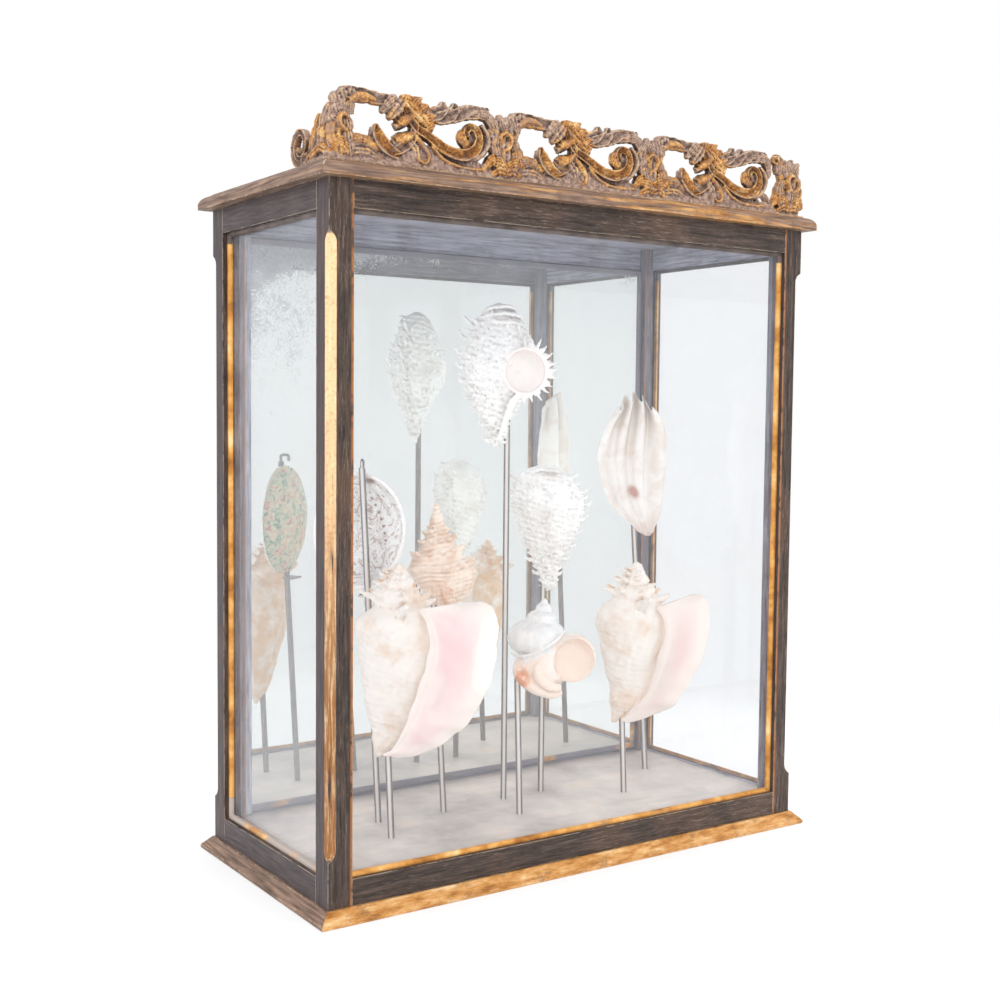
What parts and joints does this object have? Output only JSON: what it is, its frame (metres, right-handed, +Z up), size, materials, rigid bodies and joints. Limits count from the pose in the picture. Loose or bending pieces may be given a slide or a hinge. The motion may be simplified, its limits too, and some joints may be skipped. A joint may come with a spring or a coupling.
{
  "type": "shell display case",
  "caption": "Glazed wooden display case with a hinged mirrored back door, moulded plinth and cornice, carved openwork cresting, and sea shells standing on rods inside.",
  "frame": {"origin": "centre of the carcass footprint, at the underside of the base moulding", "axes": "+Z up; -Y out of the glazed front; +Y out of the back, where the mirrored door is; X along the front, hinge side at +X"},
  "size_m": [0.728, 0.34, 0.897],
  "materials": {
    "dark_wood": "worn ebonised wood, waxed",
    "plain_wood": "dark stained board",
    "gilt_moulding": "worn gilding over brown wood",
    "carved_gilt_wood": "carved wood, rubbed gilding",
    "gilding": "gilt bead, worn",
    "floor_panel": "pale limed panel",
    "glass": "clear",
    "mirror": "old silvered glass, foxed",
    "brass": "aged",
    "steel_rod": "dark polished steel",
    "shell_white": "chalky white shell",
    "shell_pink": "glossy pink shell",
    "shell_tan": "tan ribbed shell",
    "shell_pearl": "pearly shell"
  },
  "bodies": {
    "case": {"base_moulding_front": "gilt_moulding", "base_moulding_rear": "gilt_moulding", "base_moulding_left": "gilt_moulding", "base_moulding_right": "gilt_moulding", "bottom_board": "plain_wood", "display_floor": "floor_panel", "post_front_left": "dark_wood", "post_front_right": "dark_wood", "post_rear_left": "dark_wood", "post_rear_right": "dark_wood", "bottom_rail_front": "dark_wood", "bottom_rail_rear": "dark_wood", "bottom_rail_left": "dark_wood", "bottom_rail_right": "dark_wood", "top_rail_front": "dark_wood", "top_rail_rear": "dark_wood", "top_rail_left": "dark_wood", "top_rail_right": "dark_wood", "top_board": "plain_wood", "cornice_front": "gilt_moulding", "cornice_rear": "gilt_moulding", "cornice_left": "gilt_moulding", "cornice_right": "gilt_moulding", "glass_front": "glass", "glass_left": "glass", "glass_right": "glass", "glazing_beads_front": "gilding", "glazing_beads_left": "gilding", "glazing_beads_right": "gilding", "crest_front": "carved_gilt_wood", "crest_return_left": "carved_gilt_wood", "crest_return_right": "carved_gilt_wood", "door_stop": "dark_wood", "hinge_leaves_case": "brass", "hinge_pins": "brass", "turn_button_screws": "brass", "murex_upper": "shell_white", "murex_lower": "shell_white", "queen_conch": "shell_pink", "pink_conch": "shell_pink", "tan_conch": "shell_tan", "turban": "shell_pearl", "abalone": "shell_pearl", "clam_valve": "shell_white", "tall_rods": "steel_rod", "short_rods": "steel_rod", "turban_rod": "steel_rod", "abalone_stand": "steel_rod"},
    "rear_door": {"door_stile_hinge": "dark_wood", "door_stile_free": "dark_wood", "door_rail_top": "dark_wood", "door_rail_bottom": "dark_wood", "mirror_plate": "mirror", "mirror_backing": "plain_wood", "mirror_beads": "gilding", "hinge_leaves_door": "brass", "door_knob": "brass"},
    "turn_button_upper": {"turn_button_upper": "brass"},
    "turn_button_lower": {"turn_button_lower": "brass"}
  },
  "joints": [
    {"name": "rear_door_hinge", "type": "hinge", "parent": "case", "child": "rear_door", "pos_m": [0.3199, 0.1589, 0.4075], "axis": [0, 0, -1], "range_deg": [0, 170]},
    {"name": "turn_button_upper_pivot", "type": "hinge", "parent": "case", "child": "turn_button_upper", "pos_m": [-0.33, 0.158, 0.5778], "axis": [0, 1, 0], "range_deg": [0, 90]},
    {"name": "turn_button_lower_pivot", "type": "hinge", "parent": "case", "child": "turn_button_lower", "pos_m": [-0.33, 0.158, 0.2372], "axis": [0, 1, 0], "range_deg": [0, 90]}
  ]
}
